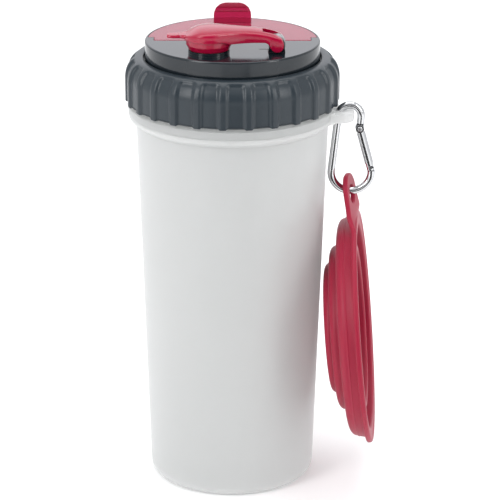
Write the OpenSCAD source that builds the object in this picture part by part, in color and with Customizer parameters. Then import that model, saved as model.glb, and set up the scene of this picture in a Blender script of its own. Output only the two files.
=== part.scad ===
// Dog travel water bottle with two chambers, a screw collar over a lid with a
// food flap and a drinking spout, and a folding bowl hung from a carabiner.
// Millimetres, +Z up. The origin is the centre of the bottle's base.
// -Y is the front, where the spout is, and +X is the side that carries the lug.

/* [Bottle] */
// Height of the body from the base to the underside of the band
body_h = 194; // [150:1:240]
// Outer radius of the threaded neck, which sets the collar and the lid
neck_r = 48.6; // [42:0.2:60]
// How much narrower the body is at the base than just under the band
body_taper = 6; // [0:0.5:9]
// Wall thickness of the body
body_wall = 2; // [1.2:0.1:3]
// Wall thickness of the neck
neck_wall = 2.4; // [1.8:0.1:3]
// Thickness of the base
floor_t = 2.4; // [1.5:0.1:4]
// Radius of the rounding round the base
base_round = 4.8; // [2:0.2:7]
// Height of the neck above the band
neck_h = 20; // [16:0.5:26]
// How far the band stands out from the neck
band_out = 4.5; // [3:0.1:6]
// Height of the band
band_h = 9.4; // [7:0.2:12]
// Radius of the rounding under the band
band_round = 4; // [2:0.2:6]
// Thickness of the wall between the water chamber and the food chamber
divider_t = 2; // [1.2:0.1:3]
// Place of that wall, front to back
divider_y = -3; // [-6:0.5:3]

/* [Lug] */
// Direction of the lug, seen from above, from +X towards the front
lug_angle = 12.6; // [0:0.2:30]
// Thickness of the lug
lug_t = 5.8; // [3:0.2:6.4]
// Radius of the hole through the lug
lug_hole_r = 3.4; // [3:0.1:4.5]
// Width of plastic round the hole
lug_rim = 3.9; // [2:0.1:4.4]
// How far the lug's top lies under the top of the band
lug_drop = 0.4; // [0:0.1:2]
// How far the lug's hole is set into the band
hole_set = 0.4; // [0:0.1:1.5]

/* [Collar] */
// Gap between the band and the collar
collar_gap = 1; // [0.5:0.1:3]
// Radial room for the thread between the neck and the collar
thread_room = 2.2; // [1.5:0.1:3]
// Wall thickness of the collar between its ribs
collar_wall = 2.7; // [2:0.1:4]
// Number of grip ribs round the collar
rib_count = 26; // [18:1:32]
// How far the ribs stand out
rib_h = 1.3; // [0.6:0.1:2]
// Width of a rib at its crest
rib_top_w = 3; // [1.5:0.1:4]
// Width of a rib at its root
rib_root_w = 6.2; // [4:0.1:6.4]
// Width of the rounded shoulder
shoulder_w = 8; // [5:0.5:9]
// Height of the rounded shoulder
shoulder_h = 11; // [6:0.5:14]
// Thickness of the lip that holds the lid down
lip_t = 1.6; // [1.2:0.1:2.4]

/* [Lid] */
// How high the lid's disc stands above the collar
lid_stand = 8.4; // [6:0.2:12]
// Thickness of the lid's flange under the lip
flange_t = 1.6; // [1.2:0.1:2.4]
// Thickness of the lid's top
lid_top_t = 2.6; // [2:0.1:4]
// Thickness of the lid's side wall
lid_side_t = 2.4; // [1.8:0.1:3]
// Thickness of the gasket
gasket_t = 1.2; // [0.8:0.1:2]
// Place of the spout, left to right
spout_x = -11.8; // [-16:0.2:-8]
// Place of the spout, front to back
spout_y = -24.6; // [-27:0.2:-22]
// Outer radius of the spout
spout_r = 10.4; // [8:0.2:13]
// Wall thickness of the spout
spout_wall = 2; // [1.5:0.1:3]
// How high the spout stands above the disc
spout_h = 1.5; // [1:0.1:4]

/* [Food flap] */
// Place of the flap's hinge line, front to back
hinge_y = -1.5; // [-1.6:0.1:0]
// Thickness of the flap
flap_t = 1.8; // [1.4:0.1:2.4]
// Thickness of the seal under the flap
seal_t = 0.6; // [0.4:0.1:1]
// Gap round the flap in its recess
flap_gap = 0.3; // [0.2:0.1:0.6]
// Width of the lid's rim round the flap
flap_rim = 1.2; // [0.8:0.1:2]
// Width of the ledge between the flap's edge and the food opening
ledge_w = 5.2; // [4:0.1:8]
// Height of the lift tab
tab_h = 10.8; // [8:0.2:14]
// Width of the lift tab
tab_w = 19.5; // [14:0.5:26]
// Thickness of the lift tab
tab_t = 2; // [1.4:0.1:2.6]
// How far the lift tab leans back, in degrees
tab_lean = 15; // [0:1:25]

/* [Spout arm] */
// How far the pad over the spout stands out past it
pad_out = 2.2; // [1:0.1:3]
// Height of the pad's underside above the disc
pad_low = 7.2; // [5:0.1:9]
// Height of the beam's underside above the disc
beam_low = 5.9; // [5:0.1:7]
// Height of the arm's crown above the disc
arm_crown = 11.7; // [10:0.1:14]
// How far the thumb tab reaches past the pad
thumb_len = 8.2; // [4:0.2:12]
// Place of the arm's pivot, left to right
pivot_x = 22.1; // [18:0.1:25]
// Height of the arm's pivot above the disc
pivot_h = 4.2; // [4:0.1:5]
// Half the width of the arm's beam
beam_half = 7; // [6:0.5:8]
// Width of the knuckle between the fork's legs
knuckle_w = 6.2; // [4:0.2:8]
// Radius of the hinge pin
pin_r = 1.25; // [1:0.05:1.6]
// Running clearance of pins in their bores
pin_clear = 0.08; // [0.03:0.01:0.1]

/* [Carabiner] */
// Overall length of the carabiner
carab_len = 49.6; // [44:0.2:62]
// Radius of its wire
wire_r = 1.9; // [1.6:0.1:2.2]
// Radius of the narrow end, to the middle of the wire
carab_top_r = 5.85; // [5.4:0.05:7]
// Radius of the wide end, to the middle of the wire
carab_low_r = 10.25; // [9:0.05:12]
// How far the wide end stands further out than the narrow end
carab_skew = 1.25; // [0:0.05:3]
// Outer radius of the gate
gate_r = 2.15; // [1.9:0.05:2.6]

/* [Bowl] */
// Outer radius of the bowl's rim
bowl_r = 61.2; // [50:0.2:75]
// Thickness of the rim
rim_t = 2.8; // [2:0.1:4]
// How far the rim stands out past the first ring
rim_out = 4.7; // [3:0.1:7]
// How much wider the first ring is at the rim than at its back edge
ring_taper = 1.6; // [0:0.1:2.4]
// Width of the folding web between the first ring and the second
fold_w_outer = 10.3; // [8:0.1:14]
// Width of the folding web between the second ring and the base cup
fold_w_inner = 6.2; // [5:0.1:10]
// Wall thickness of the rings
ring_t = 2.8; // [2:0.1:3.4]
// Depth of the first ring, folded flat
ring_d = 11.6; // [10:0.2:14]
// How far the second ring stands behind the first
step_out = 4.9; // [3:0.1:6]
// How far the base cup stands behind the second ring
cup_out = 3.4; // [2.5:0.1:5]
// Thickness of the thin folding webs
web_t = 0.9; // [0.6:0.1:1.2]
// Distance from the rim's edge to the middle of the hole in the tab
tab_reach = 12.2; // [10:0.1:20]
// Radius of the hole in the tab
bowl_hole_r = 4.8; // [4:0.1:5.5]
// Radius of the tab's round end
bowl_tab_r = 10; // [8.5:0.5:12]
// How far the middle of the tab's round end lies above the hole
tab_over = 0.8; // [0:0.1:3]
// How far the tab is twisted towards the front, in degrees
tab_twist = 5; // [0:1:10]
// How far the bowl leans, its lower edge outwards, in degrees
bowl_tilt = 5.4; // [3:0.1:9]
// How far the bowl's open side turns to the front, in degrees
bowl_turn = 4.8; // [0:0.1:10]

/* [Hidden] */
$fn = 96;
snug = 0.02;
soft_gap = 0.3;

// Levels of the bottle and its closure
ledge_z = body_h + band_h;
neck_z = ledge_z + neck_h;
collar_z = ledge_z + collar_gap;
flange_z = neck_z + gasket_t;
lip_z = flange_z + flange_t + soft_gap;
collar_top = lip_z + lip_t;
disc_z = collar_top + lid_stand;

// Radii of the bottle and its closure
neck_in = neck_r - neck_wall;
band_r = neck_r + band_out;
body_r = neck_r + 0.7;
foot_r = body_r - body_taper;
panel_r = neck_r + thread_room + collar_wall;
crest_r = panel_r + rib_h;
bore_r = neck_r + thread_room;
lid_r = neck_r - 4;
lip_r = lid_r + 0.7;
flange_r = neck_r - 0.3;
cavity_r = lid_r - lid_side_t;
skirt_r = neck_in - 0.4;
skirt_t = 2.2;
skirt_h = 4;
lid_round = 0.9;

// The flap and its recess
recess_r = lid_r - flap_rim;
recess_z = disc_z - flap_t - seal_t;
recess_y = hinge_y - 1.5;
flap_r = recess_r - flap_gap;
hinge_r = (flap_t + seal_t) / 2 - flap_gap / 2;
hinge_z = disc_z - hinge_r;
ear_x = recess_r - 3.4;
ear_y = 3.4;
opening_r = recess_r - ledge_w;
opening_y = hinge_y + 6;
opening_round = 4;

// The spout arm, whose section runs through the spout and the pivot
pivot_z = disc_z + pivot_h;
beam_y = spout_y + 1.9;
leg_r = pivot_h - 0.9;
leg_skin = 1.2;
pad_r = spout_r + pad_out;
arm_low = disc_z + pad_low;
beam_z = disc_z + beam_low;
cap_z = disc_z + spout_h + soft_gap;
cap_r = pad_r - 1.1;

// The lug, the carabiner and the gate, in the plane y = carab_y
lug_top = ledge_z - lug_drop;
hole_place = band_r + lug_hole_r - hole_set;
hole_x = hole_place * cos(lug_angle);
carab_y = -hole_place * sin(lug_angle);
lug_end_r = lug_hole_r + lug_rim;
lug_round = 1.6;
rest_gap = 0.5;
side_gap = 0.5;
c1x = hole_x - (lug_hole_r - wire_r) + side_gap + carab_top_r;
c1z = lug_top + rest_gap - (carab_top_r - wire_r);
c2x = c1x + carab_skew;
c2z = c1z - (carab_len - carab_top_r - carab_low_r - 2 * wire_r);
c_dist = norm([c2x - c1x, c2z - c1z]);
leg_angle = atan2(c2z - c1z, c2x - c1x) + 360 - acos(-(carab_low_r - carab_top_r) / c_dist);
shank_angle = -6;
shank_len = 5.8;
nose_angle = 3;
tongue_t = 1.8;
tongue_gap = 0.2;
gate_end_gap = 0.5;
tongue_len = 3.6;
rivet_r = 0.8;
nose_pin_r = 0.6;
spring_r = 1.05;
wire_lap = 0.35;

function polar(c, r, a) = [c[0] + r * cos(a), c[1] + r * sin(a)];
arc_end = polar([c1x, c1z], carab_top_r, shank_angle);
gate_pivot = polar(arc_end, shank_len, shank_angle - 90);
nose_end = polar([c2x, c2z], carab_low_r, nose_angle);
gate_dir = atan2(nose_end[1] - gate_pivot[1], nose_end[0] - gate_pivot[0]);
gate_len = norm(nose_end - gate_pivot) - gate_end_gap;

// The bowl, which hangs with its tab's hole on the carabiner's wide end
hang_gap = 1.15;
hang_side = 0.3;
tab_thick = 2.5;
bowl_hole_y = bowl_r + tab_reach;
ring_r = bowl_r - rim_out;
step_r = ring_r - ring_t - fold_w_outer;
cup_r = step_r - ring_t - fold_w_inner;
bowl_hang = [c2x - hang_side, carab_y, c2z - carab_low_r - (bowl_hole_r - wire_r - hang_gap)];
tab_root = bowl_r - 3;
tab_lean_in = 5.4;
hole_reach = (bowl_hole_y - tab_root) / cos(tab_lean_in);
hole_depth = rim_t / 2 + hole_reach * sin(tab_lean_in);
step_d = ring_d + step_out;
cup_d = step_d + cup_out;
lip_in = 1;
fold_rise = 8.4;
web_end = 0.8;
step_top = ring_d - web_end - fold_rise;
cup_top = step_d - web_end - fold_rise;
cup_floor = 2.2;

// Points along an arc, for the outlines
function arc(cx, cy, r, a0, a1, n = 8) =
    [for (i = [0 : n]) let (a = a0 + (a1 - a0) * i / n) [cx + r * cos(a), cy + r * sin(a)]];

// Points along a quarter of an ellipse, from its side up to its top
function shoulder(r_in, z_top, w, h, n = 8) =
    [for (i = [0 : n]) let (a = 90 * i / n) [r_in + w * cos(a), z_top - h + h * sin(a)]];

module tube(r_out, r_in, z0, z1) {
    difference() {
        translate([0, 0, z0])
            cylinder(r = r_out, h = z1 - z0);
        translate([0, 0, z0 - 1])
            cylinder(r = r_in, h = z1 - z0 + 2);
    }
}

// The bottle

module bottle_outside() {
    rotate_extrude()
        polygon(concat(
            [[0, 0]],
            arc(foot_r - base_round, base_round, base_round, -90, 0),
            [[body_r, body_h]],
            arc(band_r - band_round, body_h + band_round, band_round, -20, 0, 4),
            [[band_r, ledge_z - 0.5], [band_r - 0.5, ledge_z],
             [neck_r, ledge_z], [neck_r, neck_z - 0.5], [neck_r - 0.5, neck_z], [0, neck_z]]));
}

module bottle_inside() {
    inner_foot = foot_r - body_wall;
    inner_round = base_round - body_wall / 2;
    rotate_extrude()
        polygon(concat(
            [[0, floor_t]],
            arc(inner_foot - inner_round, floor_t + inner_round, inner_round, -90, 0),
            [[neck_in, body_h], [neck_in, neck_z + 1], [0, neck_z + 1]]));
}

// The lug's flaring root; its round end is a disc of its own with rounded edges
module lug_plan() {
    root = band_r - 3;
    flare = 24;
    side_x = (lug_end_r - 0.05) * sin(flare);
    side_y = (lug_end_r - 0.05) * cos(flare);
    root_y = side_y + (hole_place + side_x - root) * tan(flare);
    polygon([[root, -root_y], [hole_place + side_x, -side_y],
             [hole_place + side_x, side_y], [root, root_y]]);
}

module lug() {
    translate([0, 0, lug_top - lug_t])
        rotate([0, 0, -lug_angle])
            union() {
                translate([0, 0, lug_round / 2])
                    linear_extrude(lug_t - lug_round)
                        lug_plan();
                intersection() {
                    linear_extrude(lug_t)
                        lug_plan();
                    cylinder(r = band_r + 2, h = lug_t);
                }
                translate([hole_place, 0, 0])
                    rotate_extrude()
                        polygon(concat(
                            [[0, 0]],
                            arc(lug_end_r - lug_round, lug_round, lug_round, -90, 0, 4),
                            arc(lug_end_r - lug_round, lug_t - lug_round, lug_round, 0, 90, 4),
                            [[0, lug_t]]));
            }
}

module bottle_body() {
    color("whitesmoke", 0.8)
    difference() {
        union() {
            difference() {
                union() {
                    bottle_outside();
                    lug();
                }
                bottle_inside();
            }
            intersection() {
                translate([-neck_r, divider_y - divider_t / 2, floor_t / 2])
                    cube([2 * neck_r, divider_t, neck_z - floor_t / 2]);
                bottle_outside();
            }
        }
        rotate([0, 0, -lug_angle])
            translate([hole_place, 0, lug_top - lug_t - 1])
                cylinder(r = lug_hole_r, h = lug_t + 2);
    }
}

// The screw collar

module collar_shell(r_wall, top_drop) {
    rotate_extrude()
        polygon(concat(
            [[neck_r - 8, collar_z], [r_wall - 0.5, collar_z], [r_wall, collar_z + 0.5]],
            shoulder(r_wall - shoulder_w, collar_top - top_drop, shoulder_w, shoulder_h),
            [[neck_r - 8, collar_top - top_drop]]));
}

// A rib's plan: a flat crest, sloping sides and a tip that narrows up the shoulder
module rib_plan() {
    crest = crest_r + 0.3;
    root = panel_r - 0.2;
    tip = lid_r + 2.6;
    polygon([[tip, -0.5], [tip + 1.2, -1.6], [root, -rib_root_w / 2], [crest, -rib_top_w / 2],
             [crest, rib_top_w / 2], [root, rib_root_w / 2], [tip + 1.2, 1.6], [tip, 0.5]]);
}

module screw_collar() {
    first_rib = 8.6 - 90;
    color("dimgray")
    difference() {
        union() {
            collar_shell(panel_r, 0);
            intersection() {
                collar_shell(crest_r, 0.2);
                for (i = [0 : rib_count - 1])
                    rotate([0, 0, first_rib + i * 360 / rib_count])
                        translate([0, 0, collar_z])
                            linear_extrude(collar_top - collar_z)
                                rib_plan();
            }
        }
        translate([0, 0, collar_z - 1])
            cylinder(r = bore_r, h = neck_z - 2 - collar_z + 1);
        translate([0, 0, collar_z])
            cylinder(r = neck_r + 0.4, h = lip_z - collar_z);
        translate([0, 0, collar_z])
            cylinder(r = lip_r, h = collar_top - collar_z + 1);
    }
}

// The lid

// The half-round opening, with its two corners rounded, grown by a margin
module food_opening(grow, z0, z1) {
    r = opening_r + grow;
    y0 = opening_y - grow;
    rr = opening_round + grow;
    cy = y0 + rr;
    cx = sqrt(pow(r - rr, 2) - pow(cy, 2));
    k = (r + 2) / (r - rr);
    translate([0, 0, z0])
        linear_extrude(z1 - z0)
            union() {
                difference() {
                    intersection() {
                        circle(r = r);
                        translate([-r, y0])
                            square([2 * r, r]);
                    }
                    for (side = [-1, 1])
                        polygon([[side * cx, y0 - 1], [side * cx, cy], [side * cx * k, cy * k],
                                 [side * (r + 5), cy * k], [side * (r + 5), y0 - 1]]);
                }
                for (side = [-1, 1])
                    translate([side * cx, cy])
                        circle(r = rr);
            }
}

module spout_place() {
    translate([spout_x, spout_y, 0])
        children();
}

module knuckle() {
    translate([0, beam_y + knuckle_w / 2, 0])
        rotate([90, 0, 0])
            linear_extrude(knuckle_w)
                union() {
                    translate([pivot_x, pivot_z])
                        circle(r = leg_r + 0.4);
                    polygon([[pivot_x - 4.6, disc_z - 0.5], [pivot_x + 4.2, disc_z - 0.5],
                             [pivot_x + 3.6, pivot_z], [pivot_x - 3.6, pivot_z]]);
                }
}

module lid_plate() {
    color("dimgray")
    difference() {
        union() {
            difference() {
                union() {
                    rotate_extrude()
                        polygon(concat(
                            [[0, flange_z], [flange_r, flange_z], [flange_r, flange_z + flange_t],
                             [lid_r, flange_z + flange_t]],
                            arc(lid_r - lid_round, disc_z - lid_round, lid_round, 0, 90, 4),
                            [[0, disc_z]]));
                    difference() {
                        tube(skirt_r, skirt_r - skirt_t, flange_z - skirt_h - gasket_t, flange_z + 0.5);
                        translate([-neck_r, divider_y - 2.4, flange_z - skirt_h - gasket_t - 1])
                            cube([2 * neck_r, 4.8, skirt_h + gasket_t + 1]);
                    }
                }
                difference() {
                    translate([0, 0, flange_z - 1])
                        cylinder(r = cavity_r, h = disc_z - lid_top_t - flange_z + 1);
                    translate([-lid_r, recess_y - 2, recess_z - lid_top_t])
                        cube([2 * lid_r, 2 * lid_r, 2 * lid_top_t]);
                    translate([-lid_r, divider_y - 2, flange_z])
                        cube([2 * lid_r, 4, disc_z - flange_z]);
                }
                difference() {
                    intersection() {
                        translate([0, 0, recess_z])
                            cylinder(r = recess_r, h = disc_z - recess_z + 1);
                        translate([-lid_r, recess_y, recess_z - 1])
                            cube([2 * lid_r, 2 * lid_r, 2 * lid_top_t + 4]);
                    }
                    for (side = [-1, 1])
                        translate([side > 0 ? ear_x : -ear_x - 4, recess_y - 1, recess_z - 1])
                            cube([4, ear_y - recess_y + 1, disc_z - recess_z + 1]);
                }
                food_opening(0, recess_z - 2 * lid_top_t, disc_z + 1);
            }
            intersection() {
                translate([0, 0, flange_z])
                    cylinder(r = lid_r - 0.5, h = disc_z - flange_z - 0.2);
                spout_place()
                    translate([0, 0, flange_z + 3])
                        cylinder(r = spout_r, h = disc_z - flange_z);
            }
            spout_place()
                translate([0, 0, disc_z - 1])
                    cylinder(r = spout_r, h = spout_h + 1);
            knuckle();
        }
        spout_place()
            translate([0, 0, flange_z])
                cylinder(r = spout_r - spout_wall, h = disc_z - flange_z + spout_h + 1);
        translate([pivot_x, beam_y + knuckle_w, pivot_z])
            rotate([90, 0, 0])
                cylinder(r = pin_r + snug, h = 2 * knuckle_w, $fn = 48);
        translate([-recess_r - 0.4, hinge_y, hinge_z])
            rotate([0, 90, 0])
                cylinder(r = 0.8 + pin_clear, h = 2 * recess_r + 0.8, $fn = 32);
        translate([pivot_x - 8.7, beam_y + 3, disc_z - 0.8])
            cube([5, 0.6, 1]);
    }
}

module lid_gasket() {
    color("lightgray")
    union() {
        tube(flange_r - 0.1, skirt_r + 0.2, neck_z, flange_z);
        intersection() {
            translate([-neck_r, divider_y - 2, neck_z])
                cube([2 * neck_r, 4, gasket_t]);
            translate([0, 0, neck_z])
                cylinder(r = flange_r - 0.5, h = gasket_t);
        }
    }
}

// The food flap and its seal

module flap_tab() {
    tab_y = 0.73 * flap_r;
    round_r = 6.5;
    translate([0, tab_y, disc_z - flap_t / 2])
        rotate([90 - tab_lean, 0, 0])
            translate([0, 0, -tab_t])
                linear_extrude(tab_t) {
                    translate([-tab_w / 2, 0])
                        square([tab_w, tab_h + flap_t / 2 - round_r]);
                    intersection() {
                        rounded_plate(tab_w, tab_h + flap_t / 2, round_r);
                        translate([-tab_w / 2, 0])
                            square([tab_w, tab_h + flap_t / 2]);
                    }
                }
}

module rounded_plate(w, h, r) {
    polygon(concat(
        [[-w / 2, 0]],
        arc(-w / 2 + r, h - r, r, 180, 90, 6),
        arc(w / 2 - r, h - r, r, 90, 0, 6),
        [[w / 2, 0]]));
}

module food_flap() {
    color("crimson", 0.75)
    union() {
        difference() {
            intersection() {
                translate([0, 0, disc_z - flap_t])
                    cylinder(r = flap_r, h = flap_t);
                translate([-lid_r, hinge_y, disc_z - 2 * flap_t])
                    cube([2 * lid_r, 2 * lid_r, 4 * flap_t]);
            }
            for (side = [-1, 1])
                translate([side > 0 ? ear_x - flap_gap : -ear_x - 6 + flap_gap,
                           hinge_y - 2, disc_z - 2 * flap_t])
                    cube([6, ear_y - hinge_y + 2 + flap_gap, 4 * flap_t]);
        }
        translate([-ear_x + flap_gap, hinge_y, hinge_z])
            rotate([0, 90, 0])
                cylinder(r = hinge_r, h = 2 * (ear_x - flap_gap), $fn = 48);
        translate([-ear_x - 2.4, hinge_y, hinge_z])
            rotate([0, 90, 0])
                cylinder(r = 0.8, h = 2 * ear_x + 4.8, $fn = 32);
        flap_tab();
    }
}

module flap_seal() {
    color("gainsboro")
    difference() {
        union() {
            food_opening(1.5, disc_z - flap_t - seal_t, disc_z - flap_t);
            food_opening(-0.5, disc_z - flap_t - seal_t - 1.6, disc_z - flap_t);
        }
        food_opening(-2.2, disc_z - flap_t - seal_t - 3, disc_z - flap_t + 1);
    }
}

// The spout arm

// The arm's crown line: a long arc that falls faster over the legs
function arm_top(x) =
    disc_z + arm_crown - pow(x - spout_x - 5, 2) / 300 - 0.9 * pow(max(0, x - pivot_x + 8) / 10, 2);

module arm_side() {
    x0 = spout_x - pad_r;
    foot = spout_x + pad_r - 3;
    polygon(concat(
        [[x0 - 1, arm_low], [x0 - 1, arm_low + 2.6]],
        [for (i = [0 : 12]) let (x = x0 + 1 + (pivot_x + 1.2 - x0 - 1) * i / 12) [x, arm_top(x)]],
        arc(pivot_x - 0.2, pivot_z, leg_r + 0.2, 30, -150, 10),
        arc(pivot_x - leg_r - 3.4, beam_z - 3.4, 3.4, 0, 90, 5),
        [[foot + 2, beam_z], [foot, arm_low]]));
}

module arm_plan() {
    translate([spout_x, spout_y])
        circle(r = pad_r);
    polygon([[spout_x, spout_y - pad_r + 0.6], [spout_x + 8, beam_y - beam_half - 2.4],
             [spout_x + 13, beam_y - beam_half - 0.4], [spout_x + 19, beam_y - beam_half],
             [pivot_x + 6, beam_y - beam_half], [pivot_x + 6, beam_y + beam_half],
             [spout_x + 19, beam_y + beam_half], [spout_x + 13, beam_y + beam_half + 0.4],
             [spout_x + 8, beam_y + beam_half + 1.6], [spout_x, spout_y + pad_r - 0.6]]);
}

// The thumb tab, with a round end and two grip ridges on top
module thumb_tab() {
    end_x = spout_x - pad_r - thumb_len;
    corner = 3;
    half = 5.5;
    translate([end_x, spout_y, arm_low + 0.4])
        union() {
            linear_extrude(2)
                union() {
                    for (side = [-1, 1])
                        translate([corner, side * (half - corner)])
                            circle(r = corner, $fn = 48);
                    translate([0, corner - half])
                        square([corner + 1, 2 * (half - corner)]);
                    translate([corner, -half])
                        square([thumb_len + 1, 2 * half]);
                }
            for (x = [2.2, 4.2])
                translate([x, 0, 2])
                    rotate([90, 0, 0])
                        translate([0, 0, 1 - half])
                            cylinder(r = 0.4, h = 2 * half - 2, $fn = 24);
        }
}

module spout_arm() {
    color("crimson")
    difference() {
        union() {
            intersection() {
                translate([0, 0, disc_z])
                    linear_extrude(20)
                        arm_plan();
                translate([0, 20, 0])
                    rotate([90, 0, 0])
                        linear_extrude(80)
                            arm_side();
            }
            thumb_tab();
            spout_place()
                rotate_extrude()
                    polygon([[0, cap_z], [spout_r, cap_z], [cap_r - 0.1, cap_z + 2.2],
                             [cap_r, arm_low + 1], [0, arm_low + 1]]);
        }
        spout_place()
            translate([0, 0, cap_z - 1])
                cylinder(r = spout_r - 1.6, h = arm_low - cap_z + 2.4);
        translate([pivot_x - 5, beam_y - knuckle_w / 2 - flap_gap, disc_z - 1])
            cube([20, knuckle_w + 2 * flap_gap, 20]);
        translate([pivot_x, beam_y + beam_half + 1, pivot_z])
            rotate([90, 0, 0])
                cylinder(r = pin_r + pin_clear, h = 2 * beam_half + 1 - leg_skin, $fn = 48);
    }
}

module spout_plug() {
    plug_r = spout_r - spout_wall - 0.2;
    color("white")
    spout_place()
        union() {
            translate([0, 0, cap_z + 0.1])
                cylinder(r = spout_r - 1.7, h = arm_low + 1.3 - cap_z);
            translate([0, 0, disc_z - 1.6])
                cylinder(r1 = plug_r - 0.9, r2 = plug_r, h = 1.6);
            translate([0, 0, disc_z])
                cylinder(r = plug_r, h = cap_z + 0.2 - disc_z);
        }
}

module arm_pin() {
    reach = beam_half - leg_skin - 0.3;
    color("silver")
    translate([pivot_x, beam_y + beam_half - 0.4, pivot_z])
        rotate([90, 0, 0])
            cylinder(r = pin_r, h = beam_half - 0.4 + reach, $fn = 48);
}

// The carabiner

module in_plane() {
    translate([0, carab_y, 0])
        rotate([90, 0, 0])
            children();
}

module wire_arc(c, r, a0, a1) {
    translate([c[0], c[1], 0])
        rotate([0, 0, a0])
            rotate_extrude(angle = a1 - a0, $fn = 96)
                translate([r, 0])
                    circle(r = wire_r, $fn = 48);
}

module wire_line(p, q) {
    d = q - p;
    translate([p[0], p[1], 0])
        rotate([0, 0, atan2(d[1], d[0])])
            rotate([0, 90, 0])
                translate([0, 0, -wire_lap])
                    cylinder(r = wire_r - snug, h = norm(d) + 2 * wire_lap, $fn = 48);
}

module along_gate() {
    translate([gate_pivot[0], gate_pivot[1], 0])
        rotate([0, 0, gate_dir])
            children();
}

module carabiner_body() {
    c1 = [c1x, c1z];
    c2 = [c2x, c2z];
    shank_stop = polar(arc_end, shank_len - gate_r - 0.9, shank_angle - 90);
    color("silver")
    in_plane()
        difference() {
            union() {
                wire_arc(c1, carab_top_r, shank_angle, leg_angle);
                wire_line(polar(c1, carab_top_r, leg_angle), polar(c2, carab_low_r, leg_angle));
                wire_arc(c2, carab_low_r, leg_angle, 360 + nose_angle);
                wire_line(arc_end, shank_stop);
                translate([gate_pivot[0], gate_pivot[1], -tongue_t / 2])
                    cylinder(r = gate_r - 0.15, h = tongue_t, $fn = 48);
                translate([gate_pivot[0], gate_pivot[1], -tongue_t / 2])
                    rotate([0, 0, shank_angle + 90])
                        translate([0, -wire_r + 0.1, 0])
                            cube([gate_r + 1.2, 2 * wire_r - 0.2, tongue_t]);
                along_gate()
                    translate([gate_len - tongue_len + gate_end_gap, -1.5, -tongue_t / 2])
                        cube([tongue_len + 0.3, 3, tongue_t]);
            }
            translate([gate_pivot[0], gate_pivot[1], -wire_r - 1])
                cylinder(r = rivet_r + snug, h = 2 * wire_r + 2, $fn = 32);
            along_gate()
                translate([gate_len - tongue_len + gate_end_gap + 1.4, 0, -wire_r - 1])
                    cylinder(r = nose_pin_r + snug, h = 2 * wire_r + 2, $fn = 32);
        }
}

module carabiner_gate() {
    slot = tongue_t + 2 * tongue_gap;
    nose_slot = tongue_len + 0.4;
    pin_x = gate_len - tongue_len + gate_end_gap + 1.4;
    color("silver")
    in_plane()
        along_gate()
            difference() {
                union() {
                    rotate([0, 90, 0])
                        cylinder(r = gate_r, h = gate_len, $fn = 48);
                    translate([0, 0, -gate_r])
                        cylinder(r = gate_r, h = 2 * gate_r, $fn = 48);
                }
                translate([-gate_r - 1, -gate_r - 1, -slot / 2])
                    cube([2 * gate_r + 1.6, 2 * gate_r + 2, slot]);
                translate([gate_len - nose_slot, -gate_r - 1, -slot / 2])
                    cube([nose_slot + 1, 2 * gate_r + 2, slot]);
                translate([0, 0, -gate_r - 1])
                    cylinder(r = rivet_r + pin_clear, h = 2 * gate_r + 2, $fn = 32);
                translate([gate_r + 0.5, 0, 0])
                    rotate([0, 90, 0])
                        cylinder(r = spring_r + 0.1, h = gate_len - nose_slot - gate_r - 2, $fn = 32);
                translate([pin_x - nose_pin_r - 0.2, -nose_pin_r - 0.2, -gate_r - 1])
                    cube([2 * nose_pin_r + 0.4, gate_r + 2, 2 * gate_r + 2]);
            }
}

module gate_pivot_rivet() {
    color("gray")
    in_plane()
        translate([gate_pivot[0], gate_pivot[1], -gate_r - 0.5])
            union() {
                cylinder(r = rivet_r, h = 2 * gate_r + 1, $fn = 32);
                cylinder(r1 = rivet_r, r2 = rivet_r + 0.5, h = 0.4, $fn = 32);
                translate([0, 0, 2 * gate_r + 0.6])
                    cylinder(r1 = rivet_r + 0.5, r2 = rivet_r, h = 0.4, $fn = 32);
            }
}

module nose_pin() {
    color("gray")
    in_plane()
        along_gate()
            translate([gate_len - tongue_len + gate_end_gap + 1.4, 0, -gate_r + 0.3])
                cylinder(r = nose_pin_r, h = 2 * gate_r - 0.6, $fn = 32);
}

module gate_spring() {
    color("silver")
    in_plane()
        along_gate()
            translate([gate_r + 3.2, 0, 0])
                rotate([0, 90, 0])
                    tube(spring_r, spring_r - 0.35, 0, gate_len - tongue_len - gate_r - 5.4);
}

module gate_plunger() {
    color("gray")
    in_plane()
        along_gate()
            union() {
                translate([gate_r + 0.7, 0, 0])
                    rotate([0, 90, 0])
                        cylinder(r = spring_r, h = 2.4, $fn = 32);
                translate([gate_r, 0, 0])
                    rotate([0, 90, 0])
                        cylinder(r = 0.5, h = 1, $fn = 32);
            }
}

// The folding bowl, drawn with its open face up at z = 0

module hang_bowl() {
    translate(bowl_hang)
        rotate([0, -bowl_tilt, -bowl_turn])
            rotate([90, 0, 90])
                translate([0, -bowl_hole_y, hole_depth])
                    children();
}

module ring_section(r, t0, t1, w, top_round) {
    polygon(concat(
        arc(r - w / 2, -t0 - w / 2, w / 2, 180, 0, top_round),
        arc(r - w, -t1 + w, w, 0, -90, 6),
        [[r - w - lip_in, -t1], [r - w - lip_in, -t1 + 1.3], [r - w, -t1 + w + 0.6]]));
}

module web_section(r_out, t_out, r_in, t_in) {
    polygon([[r_out, -t_out + web_t / 2], [r_out, -t_out - web_t / 2],
             [r_in, -t_in - web_t / 2], [r_in, -t_in + web_t / 2]]);
}

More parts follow.
